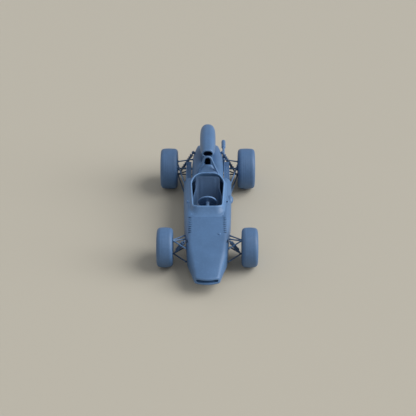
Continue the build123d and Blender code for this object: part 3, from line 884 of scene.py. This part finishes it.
def body_shell():
    """Nose, scuttle, shoulders and sides as one skin that turns in to the slot of the nose."""
    rings = rounded_run(body_ring, BODY_END, NOSE, (REAR_EDGE_R, 4, 1.2), (NOSE_EDGE_R, 5, 1.2))
    rings += [slot_ring(*row) for row in ((0.0, 0.14), (0.05, 0.04), (0.2, 0.0), (SLOT_DEPTH,))]
    shell = skin("body_shell", rings)
    low = COAMING_LEVELS[0][0]
    well = [skin("well", [[(x, at(s), z) for x, s in opening(low, grow)] for z in heights])
            for grow, heights in ((0.02, (low, WELL_TOP)), (WELL_GROW, WELL_Z))]
    cut(shell, *well, slab("well", *COCKPIT_BOX), slab("well", *FOOTWELL_BOX))
    mark_edge_highlight(shell)
    slots, hoods = [], []
    for number in range(LOUVRE_COUNT):
        for side in (-1, 1):
            slots.append(louvre("slot", side, number, 8, LOUVRE_SLOT))
            hoods.append(louvre("hood", side, number, 12, LOUVRE_HOOD))
    x, station = PEG_AT
    slots.append(post("peg_hole", (x, station, body_surface(x, station) - 0.9), PEG_HOLE_R,
                      PEG_HOLE_L, 24))
    slots += [slab("pocket", [side * x for x in POCKET_X], POCKET_STATIONS, POCKET_Z, 0.4, 4)
              for side in (-1, 1)]
    cut(shell, *slots)
    join(shell, *hoods)
    finish(shell, "chassis", ("nose_cover", "tub", "cockpit_surround"), body_resin,
           32)
    # the cockpit's walls and the pockets take the darker resin: painted shade
    shell.data.materials.append(shade_resin)
    edit(shell)
    choose("FACE", lambda middle, normal: in_cockpit(middle) or in_pocket(middle, normal))
    shell.active_material_index = 1
    bpy.ops.object.material_slot_assign()
    done()


def post(name, foot, radius, height, segments, top_r=0.0):
    """An upright round post by the middle of its foot."""
    x, station, z = foot
    piece = cylinder(name, (x, at(station), z + height / 2), radius, height, segments)
    if top_r:
        edit(piece)
        choose("FACE", lambda middle, normal: normal.z > 0.9)
        bpy.ops.mesh.region_to_loop()
        bpy.ops.mesh.bevel(offset=top_r, segments=4, affect="EDGES")
        done()
    return piece


def rim_height(station):
    """Height of the coaming's edge, with the corners of its line eased."""
    return sum(straight(RIM_LINE, station + gap) for gap in (-1.0, -0.5, 0.0, 0.5, 1.0)) / 5


def coaming():
    """Screen and lip round the cockpit: stepped foot, leaned wall, rounded edge."""
    base, full = COAMING_LEVELS[0][0], COAMING_LEVELS[1][0]
    rims = [rim_height(station) for _, station in opening(full, 0.0)]
    rings = []
    for grow, share, rise in COAMING_PROFILE:
        ring = []
        for rim, (x0, s0), (x1, s1) in zip(rims, opening(base, grow), opening(full, grow)):
            foot = body_surface(x0, s0)
            height = foot + (rim - foot) * share + rise
            lean = (height - base) / (full - base)
            ring.append((x0 + (x1 - x0) * lean, at(s0 + (s1 - s0) * lean), height))
        rings.append(ring)
    piece = merge(skin("windscreen", rings + [rings[0]], caps=False))
    # the coaming takes the paler resin: painted light
    finish(piece, "chassis", ("windscreen",), lit_coaming_resin, 60)


def shoulder_details():
    """Filler cap, mirror pegs and the blister on the left shoulder."""
    x, station = FILLER_AT
    cap = post("filler_cap", (x, station, body_surface(x, station) - 0.2), FILLER_R, 0.5, 32,
               0.24)
    finish(cap, "chassis", ("filler_cap",), body_resin, 60)
    for side, name in ((-1, "mirror_peg_right"), (1, "mirror_peg_left")):
        x, station = side * PEG_AT[0], PEG_AT[1]
        height = body_surface(x, station)
        foot = post(name, (x, station, height - 0.3), PEG_FOOT_R, 0.5, 28, 0.16)
        if side > 0:
            cut(foot, post("hole", (x, station, height - 1.0), PEG_HOLE_R, PEG_HOLE_L, 24))
        else:
            join(foot, post("stem", (x, station, height), PEG_STEM_R, 0.55, 24, 0.14))
        finish(foot, "chassis", (), body_resin, 50)
    x, station, height = BLISTER_AT
    blister = ball("shoulder_blister", (x, at(station), height), BLISTER_RADII, 48, 28)
    finish(blister, "chassis", (), body_resin, 50)


# ======== cockpit ========

def seat():
    """Bucket seat: a shell with side wings that flare forward and a back with round corners."""
    rings = []
    for low, high in zip(SEAT_LINE, SEAT_LINE[1:]):
        for part in range(3 if high is not SEAT_LINE[-1] else 4):
            station = low[0] + (high[0] - low[0]) * part / 3
            height, edge_x, edge_station, edge_height = flow(SEAT_LINE, station)
            ring = []
            for number in range(SEAT_STEPS + 1):
                turn = math.radians(-90 + 180 * number / SEAT_STEPS)
                reach = math.copysign(abs(math.sin(turn)) ** SEAT_SQUARE, turn)
                rise = 1 - math.cos(turn) ** SEAT_SQUARE if number % SEAT_STEPS else 1.0
                flute = FLUTE_DEPTH * math.cos(reach * 17) if 6.5 < height < 15.5 else 0.0
                ring.append((edge_x * reach, at(station + (edge_station - station) * rise + flute),
                             height + (edge_height - height) * rise))
            rings.append(ring)
    piece = skin("seat", rings, caps=False, closed=False)
    modifier(piece, "SOLIDIFY", thickness=SEAT_T, offset=-1.0)
    # the seat takes the darker resin: painted shade inside the cockpit
    finish(merge(piece), "chassis", ("seat",), shade_resin, 60)


def tilt_to_column():
    """Turns what lies flat round the origin to the column's tilt and moves it to the wheel."""
    bpy.ops.mesh.select_all(action="SELECT")
    bpy.ops.transform.rotate(value=math.radians(90 - WHEEL_TILT), orient_axis="X",
                             center_override=(0, 0, 0))
    bpy.ops.transform.translate(value=(0, at(WHEEL_STATION), WHEEL_Z))
    done()


def steering_wheel():
    """Thick rim round a dished web with three spokes, a boss and its column."""
    piece = start("steering_wheel")
    bpy.ops.mesh.primitive_torus_add(major_radius=WHEEL_R, minor_radius=WHEEL_RIM_R,
                                     major_segments=72, minor_segments=18)
    bpy.ops.mesh.primitive_cone_add(vertices=64, radius1=WHEEL_R - 0.1, radius2=0.9, depth=0.24,
                                    location=(0, 0, -0.12))
    bpy.ops.mesh.primitive_cylinder_add(vertices=40, radius=1.0, depth=0.6)
    bpy.ops.mesh.primitive_cone_add(vertices=40, radius1=COLUMN_R, radius2=0.95, depth=0.8,
                                    location=(0, 0, -0.6))
    bpy.ops.mesh.primitive_cylinder_add(vertices=32, radius=COLUMN_R, depth=COLUMN_L,
                                        location=(0, 0, -COLUMN_L / 2))
    reach = (WHEEL_R + 0.6) / 2
    for angle in (-90, 30, 150):
        heading = math.radians(angle)
        bpy.ops.mesh.primitive_cube_add(
            size=1, location=(reach * math.cos(heading), reach * math.sin(heading), -0.1),
            rotation=(0, 0, heading), scale=(WHEEL_R - 0.5, 0.8, 0.5))
    tilt_to_column()
    finish(piece, "chassis", ("steering_wheel",), body_resin)


def dash():
    """Panel at the end of the column, with a row of raised gauges."""
    piece = start("dash")
    bpy.ops.mesh.primitive_cube_add(size=1, location=(0, 0, -COLUMN_L - 0.3), scale=DASH_SIZE)
    bpy.ops.mesh.select_all(action="SELECT")
    bpy.ops.mesh.bevel(offset=0.12, segments=3, affect="EDGES")
    for x, radius in GAUGES:
        bpy.ops.mesh.primitive_torus_add(major_radius=radius, minor_radius=0.1,
                                         major_segments=32, minor_segments=10,
                                         location=(x, 0.35, -COLUMN_L - 0.02))
    tilt_to_column()
    finish(piece, "chassis", ("dash",), fine_resin)


# ======== engine end ========

def roll_hoop():
    """Bent bar whose two feet stand in the engine cover."""
    foot = Vector((HOOP_FOOT_X, at(HOOP_FOOT), DECK_Z))
    top = Vector((HOOP_TOP_X, at(HOOP_TOP), HOOP_TOP_Z))
    path = [foot.lerp(top, share) for share in (0.0, 0.2, 0.4, 0.6, 0.8, 0.94)]
    for angle in (25, 45, 65, 90):
        turn = math.radians(angle)
        path.append((HOOP_TOP_X * math.cos(turn) * 0.9, at(HOOP_TOP),
                     HOOP_TOP_Z - HOOP_ARCH * (1 - math.sin(turn))))
    path += [(-x, y, z) for x, y, z in reversed(path[:-1])]
    finish(tube("roll_hoop", path, HOOP_R, 24), "chassis", ("roll_hoop",),
           fine_resin, 50)


def headrest():
    """Padded fairing between the hoop's legs, its face finely ribbed, falling to the rear."""
    rows = []
    for number in range(HEADREST_RIBS * 4 + 1):
        share = number / (HEADREST_RIBS * 4)
        row = [low + (high - low) * share for low, high in zip(*HEADREST_FACE)]
        row[3] += RIB_RISE * abs(math.sin(math.pi * share * HEADREST_RIBS)) ** 0.6
        rows.append(row)
    rings = []
    for station, foot, top, height in rows + HEADREST_BACK:
        edge = height - HEADREST_ROUND
        right = [(0.0, height + 0.1), (top * 0.5, height + 0.07), (top * 0.85, height - 0.05),
                 (top, edge)]
        right += [(top + (foot - top) * share, edge - (edge - DECK_Z) * share)
                  for share in (0.2, 0.4, 0.6, 0.8, 1.0)]
        right += [(foot * 0.5, DECK_Z), (0.0, DECK_Z)]
        rings.append(across(both_sides(right), station))
    finish(skin("headrest", rings), "chassis", ("headrest",), body_resin, 45)


def cover_outline(half_width, shoulder, hump, valley):
    """Two humps with a valley between, over straight sides."""
    right = []
    for number in range(HUMP_STEPS + 1):
        share = number / HUMP_STEPS
        top = valley + (hump - valley) * math.sin(min(share / HUMP_AT, 1.0) * math.pi / 2) ** 2
        if share > HUMP_AT:
            fall = (share - HUMP_AT) / (1 - HUMP_AT)
            top = shoulder + (hump - shoulder) * math.sqrt(max(0.0, 1 - fall ** 2.2))
        right.append((half_width * share, top))
    right += [(half_width, shoulder - (shoulder - COVER_Z) * share)
              for share in (0.15, 0.4, 0.7, 1.0)]
    return both_sides(right + [(half_width * 0.5, COVER_Z), (0.0, COVER_Z)])


def cover_ring(station, inset=0.0):
    """Section of the engine cover, drawn in by an inset."""
    half_width, shoulder, hump, valley = flow(COVER_SECTIONS, station)
    outline = cover_outline(half_width - inset, shoulder - inset, hump - inset, valley - inset)
    return across([(x, max(z, COVER_Z)) for x, z in outline], station)


def engine_cover():
    """Two-humped cover over the engine, closed and rounded at both ends."""
    cover = skin("engine_cover", rounded_run(cover_ring, BODY_END, COVER_END, (0.4, 4, 1.0),
                                             (0.9, 5, 1.2), 1.4))
    cut(cover,
        slab("pocket", (-POCKET_HALF_W, POCKET_HALF_W), (BODY_END - 1, POCKET_END),
             (COVER_Z - 1, POCKET_TOP)),
        slab("inlet", (-INLET_HALF_W, INLET_HALF_W), INLET, (COVER_Z - 2, INLET_TOP), 0.3))
    finish(cover, "chassis", ("engine_cover",), body_resin, 34)


def pod_ring(station, inset=0.0):
    """Section of the air box's pod, drawn in by an inset."""
    half_width, low, high, radius = flow(POD_SECTIONS, station)
    radius = max(min(radius - inset, half_width - inset - 0.12), 0.12)
    outline = rounded_box(half_width - inset, low + inset, high - inset, radius, radius, 0.0)
    return across(outline, station)


def mouth_ring(depth, grow=0.0, drop=0.0):
    """Outline of the oval mouth, each point in line with one of the pod's front edge."""
    half_width, low, high, radius = POD_SECTIONS[0][1:]
    middle = (low + high) / 2
    ring = []
    for x, z in rounded_box(half_width, low, high, radius, radius, 0.0):
        angle = math.atan2(x / half_width, (z - middle) / (high - middle))
        ring.append(((MOUTH_W / 2 + grow) * math.sin(angle),
                     MOUTH_Z - drop + (MOUTH_H / 2 + grow) * math.cos(angle)))
    return across(ring, POD_SECTIONS[0][0] + depth)


def air_box():
    """Long rounded pod with a rolled lip and a deep mouth, on a stem."""
    rings = rounded_run(pod_ring, POD_SECTIONS[-1][0], POD_SECTIONS[0][0], (1.1, 5, 1.6),
                        (0.42, 5, 0.8))
    pod = skin("air_box", rings + [mouth_ring(*row) for row in MOUTH_ROWS])
    stem = slab("stem", (-TRUNK_HALF_W, TRUNK_HALF_W), TRUNK, TRUNK_Z)
    edit(stem)
    choose("EDGE", lambda middle, along: abs(along.z) > 0.9)
    bpy.ops.mesh.bevel(offset=TRUNK_R, segments=8, affect="EDGES")
    done()
    cut(stem, slab("inlet", (-INLET_HALF_W, INLET_HALF_W), (TRUNK[0] - 1, INLET[1]),
                   TRUNK_INLET_Z, 0.5, 3))
    finish(join(pod, stem), "chassis", ("air_box",), body_resin, 50)


def side_coolers():
    """Cores of thin fins in a frame, behind the tub."""
    (x0, x1), (z0, z1) = COOLER_X, COOLER_Z
    run = (BODY_END, COOLER_END)
    parts = [slab("core", (x0 + 0.1, x1 - 0.1), run, (z0, z1 - 0.34), 0.12)]
    for middle in steps_between(BODY_END + 0.75, COOLER_END - 0.5, FIN_PITCH):
        parts.append(slab("fin", (x0 + 0.1, x1 - 0.1), (middle - 0.17, middle + 0.17),
                          (z1 - 1.0, z1 - 0.1), 0.08))
    for share, drop in ((0.0, 0.0), (0.34, 0.22), (0.66, 0.22), (1.0, 0.0)):
        x = x0 + 0.14 + (x1 - x0 - 0.28) * share
        parts.append(slab("tube", (x - 0.14, x + 0.14), run, (z0 + 0.2, z1 - drop), 0.08))
    for station in (BODY_END + 0.27, COOLER_END - 0.27):
        parts.append(slab("end", (x0, x1), (station - 0.25, station + 0.25), (z0, z1), 0.14, 3))
    finish_pair(join(*parts), "side_cooler_{}", "chassis", fine_resin)


def engine_block():
    """Block with webs down its sides."""
    parts = [slab("engine_block", (-BLOCK_HALF_W, BLOCK_HALF_W), (BODY_END, BLOCK_END),
                  BLOCK_Z, 0.35)]
    for x in (0.03 - BLOCK_HALF_W, BLOCK_HALF_W - 0.03):
        for number in range(WEB_COUNT):
            station = BODY_END + 1.2 + number * WEB_PITCH
            parts.append(slab("web", (x - 0.1, x + 0.1), (station, station + 0.45),
                              (BLOCK_Z[0] + 0.6, BLOCK_Z[1] - 0.8), 0.06, 1))
    finish(join(*parts), "chassis", ("engine_block",), fine_resin)


def gearbox():
    """Case with cooling ribs and a round tail cover on eight studs."""
    half, (low, high) = GEARBOX_HALF_W, GEARBOX_Z
    middle = (low + high) / 2
    parts = [slab("gearbox", (-half, half), (BLOCK_END, GEARBOX_END), (low, high), 0.5, 3),
             cylinder("tail", (0, at(GEARBOX_END) - 0.08, middle), TAIL_R, 0.3, 40, LENGTHWISE)]
    for number in range(CASE_RIBS):
        station = BLOCK_END + 4.6 + number * CASE_RIB_PITCH
        parts.append(slab("rib", (-half - 0.08, half + 0.08), (station, station + 0.35),
                          (low + 0.7, high - 0.6), 0.06, 1))
    for x, z in circle(8, TAIL_STUDS_R):
        parts.append(cylinder("stud", (x, at(GEARBOX_END) + 0.04, middle + z), 0.16, 0.3, 12,
                              LENGTHWISE))
    finish(join(*parts), "chassis", ("gearbox",), fine_resin)


def dampers():
    """Spring over a round body, between two eyes."""
    for end, (lower, upper) in DAMPERS.items():
        low, high = (Vector((x, at(station), z)) for x, station, z in (lower, upper))
        along = high - low
        parts = [tube("rod", [low, high], 0.3),
                 tube("body", [low + along * 0.2, low + along * 0.86], 0.46, 24)]
        for share in (0.18, 0.86):
            parts.append(tube("collar", [low + along * (share - 0.02),
                                         low + along * (share + 0.02)], 0.8, 28))
        side = along.orthogonal().normalized()
        other = along.normalized().cross(side)
        steps = COIL_TURNS * COIL_STEPS
        coil = []
        for number in range(steps + 1):
            angle = math.tau * number / COIL_STEPS
            coil.append(low + along * (0.2 + 0.64 * number / steps)
                        + (side * math.cos(angle) + other * math.sin(angle)) * COIL_R)
        wire_r = min(0.17, along.length * 0.6 / COIL_TURNS * 0.3)
        parts.append(tube("coil", coil, wire_r, 8))
        for point, radius in ((low, LOWER_EYE_R), (high, UPPER_EYE_R[end])):
            parts.append(ball("eye", point, (radius, radius, radius), 24, 14))
        # the dampers take the darker resin: painted shade under the body
        finish_pair(join(*parts), end + "_damper_{}", "chassis", shade_resin)


# ======== wheels ========

def tyre_outline(radius, width, rim_r):
    """Round shoulders, a faintly crowned tread with hair-fine grooves, bulged sides."""
    half = width / 2
    centre = (half - TYRE_SHOULDER, radius - TYRE_CROWN - TYRE_SHOULDER)
    side = [(half - inset, rim_r + rise) for inset, rise in TYRE_SIDE]
    outline = [(-x, r) for x, r in side]
    outline += arc((-centre[0], centre[1]), TYRE_SHOULDER, 180, 96, 10)
    tread = half - TYRE_SHOULDER + 0.1
    for number in range(1, TREAD_LINES + 1):
        middle = -tread + 2 * tread * number / (TREAD_LINES + 1)
        rise = radius - TYRE_CROWN * (middle / tread) ** 2
        outline += [(middle + x, rise - drop) for x, drop in GROOVE]
    outline += arc(centre, TYRE_SHOULDER, 84, 0, 10)
    return outline + [(x, r) for x, r in reversed(side)]


def rim_outline(width, rim_r, hub_end):
    """Barrel with rolled lips, a dished disc and a hub that turns on the stub axle."""
    lip = width / 2 - LIP_INSET
    disc = lip - DISC_INSET
    return [(-lip, rim_r - 0.46), (-lip - 0.06, rim_r - 0.25), (-lip, rim_r - 0.04),
            (lip, rim_r - 0.04), (lip + 0.08, rim_r - 0.10), (lip + 0.12, rim_r - 0.24),
            (lip + 0.06, rim_r - 0.40), (lip - 0.10, rim_r - 0.48), (lip - 0.5, rim_r - 0.54),
            (disc + 0.30, rim_r - 0.66), (disc + 0.06, rim_r - 0.86), (disc, rim_r - 1.10),
            (disc + 0.06, 2.15), (disc + 0.22, 1.75), (disc + 0.26, 1.5), (disc + 0.30, 1.4),
            (disc + 0.62, 1.28), (disc + 0.68, 1.15), (disc + 0.68, 0.0), (AXLE_END, 0.0),
            (AXLE_END, BORE_R), (hub_end, BORE_R), (hub_end, HUB_R), (disc - 0.7, HUB_R),
            (disc - 0.72, rim_r - 0.9), (disc - 1.0, rim_r - 0.55)]


def wheel(end, station, radius, width, rim_r):
    """A tyre, and a rim with windows, studs and a hexagon nut, on both sides of the car."""
    x, y, z = TRACK / 2, at(station), radius
    tyre = spun("tyre", tyre_outline(radius, width, rim_r), (x, y, z), 128)
    hub_end = UPRIGHT_DEPTH - width / 2 + HUB_GAP
    rim = spun("rim", rim_outline(width, rim_r, hub_end), (x, y, z), 96)
    face = x + width / 2 - LIP_INSET - DISC_INSET
    cut(rim, join(*(cylinder("window", (face, y + back, z + up), WINDOW_R, 3.0, 28, CROSSWISE)
                    for back, up in circle(WINDOW_COUNT, WINDOW_RING_R))))
    studs = [cylinder("stud", (face + 0.12, y + back, z + up), 0.24, 0.4, 6, CROSSWISE)
             for back, up in circle(WINDOW_COUNT, STUD_RING_R, 0.5)]
    nut = cylinder("nut", (face + 0.85, y, z), 0.8, 0.5, 6, CROSSWISE)
    rim = join(rim, nut, *studs)
    for piece, kind, slot, material in ((tyre, "tyre", "tyre_resin", tyre_resin),
                                        (rim, "rim", "fine_resin", fine_resin)):
        finish_pair(piece, f"{kind}_{end}_{{}}", f"wheel_{end}_{{}}", material)


def exhaust():
    """Four stubs into one pipe that rises behind the axle and ends in a small silencer."""
    pitch = (BLOCK_END - BODY_END) / 5
    ends = [BODY_END + number * pitch for number in range(1, 5)]
    path = [(PIPE_X, ends[0] - 0.4, PIPE_Z), (PIPE_X, BLOCK_END, PIPE_Z),
            (RISER_X, RISER_START, PIPE_Z), (RISER_X, RISER_END, TAILPIPE_Z),
            (TAILPIPE_X, TAIL_END - SILENCER_L + 0.5, TAILPIPE_Z)]
    path = eased([Vector((x, at(s), z)) for x, s, z in path], 1.2)
    parts = [tube("exhaust", path, PIPE_R, 20)]
    for station in ends:
        parts.append(tube("stub", [(BLOCK_HALF_W, at(station), PIPE_Z + 0.5),
                                   (PIPE_X - 0.5, at(station), PIPE_Z + 0.35),
                                   (PIPE_X, at(station) + 0.5, PIPE_Z)], 0.42, 14))
    parts.append(skin("silencer", [
        [(TAILPIPE_X + x, at(TAIL_END - SILENCER_L + along), TAILPIPE_Z + z)
         for x, z in circle(28, radius)] for along, radius in SILENCER_PROFILE]))
    finish(join(*parts), "chassis", ("exhaust",), fine_resin)


def eased(points, radius, steps=6):
    """A path of straight runs with its corners rounded."""
    path = [points[0]]
    for before, corner, after in zip(points, points[1:], points[2:]):
        back = (before - corner).normalized() * radius
        ahead = (after - corner).normalized() * radius
        for step in range(steps + 1):
            t = step / steps
            path.append((corner + back) * (1 - t) ** 2 + corner * 2 * t * (1 - t)
                        + (corner + ahead) * t ** 2)
    return path + [points[-1]]


# ======== build ========

body_shell()
coaming()
shoulder_details()
seat()
steering_wheel()
dash()
roll_hoop()
headrest()
engine_cover()
air_box()
engine_block()
gearbox()
exhaust()
side_coolers()
dampers()
wheel("front", 0.0, FRONT_TYRE_R, FRONT_TYRE_W, FRONT_RIM_R)
wheel("rear", WHEELBASE, REAR_TYRE_R, REAR_TYRE_W, REAR_RIM_R)

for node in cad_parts.values():
    node.data.materials.clear()
    node.data.materials.append(rod_resin)


# ======== floor, light and camera ========

def floor():
    """A plain pale floor under the car."""
    ground = start("floor")
    bpy.ops.mesh.primitive_plane_add(size=4.0)
    done()
    made = Finish("floor")
    made.shader.inputs["Base Color"].default_value = (*FLOOR_TONE, 1.0)
    made.shader.inputs["Roughness"].default_value = 0.7
    ground.data.materials.append(made.material)


def stand(data, place, target):
    """Puts a light or the camera in its place, turned towards a target."""
    holder = bpy.data.objects.new(data.name, data)
    holder.location = place
    holder.rotation_euler = (target - place).to_track_quat("-Z", "Y").to_euler()
    bpy.context.collection.objects.link(holder)
    return holder


def lamp(name, place, spread, strength):
    """A broad, far light that shines from the side of a place towards the middle."""
    light = bpy.data.lights.new(name, "SUN")
    light.angle = math.radians(spread)
    light.energy = strength
    stand(light, Vector(place), Vector())


def camera():
    """Stands ahead of the nose and looks down on the car."""
    tilt = math.radians(CAMERA_TILT)
    target = Vector((CAMERA_AIM[0] * MM, at(CAMERA_AIM[1]) * MM, 0.0))
    place = Vector((CAMERA_X * MM, target.y - CAMERA_REACH * MM * math.cos(tilt),
                    CAMERA_REACH * MM * math.sin(tilt)))
    data = bpy.data.cameras.new("camera")
    data.sensor_width = 36.0
    data.lens = CAMERA_LENS
    data.clip_start = 0.01
    bpy.context.scene.camera = stand(data, place, target)


floor()
for row in LAMPS:
    lamp(*row)
world = bpy.data.worlds.new("room")
world.use_nodes = True
sky = world.node_tree.nodes["Background"].inputs
sky["Color"].default_value = (*SKY_TONE, 1.0)
sky["Strength"].default_value = SKY_STRENGTH
bpy.context.scene.world = world
camera()
bpy.context.scene.view_settings.view_transform = "Standard"
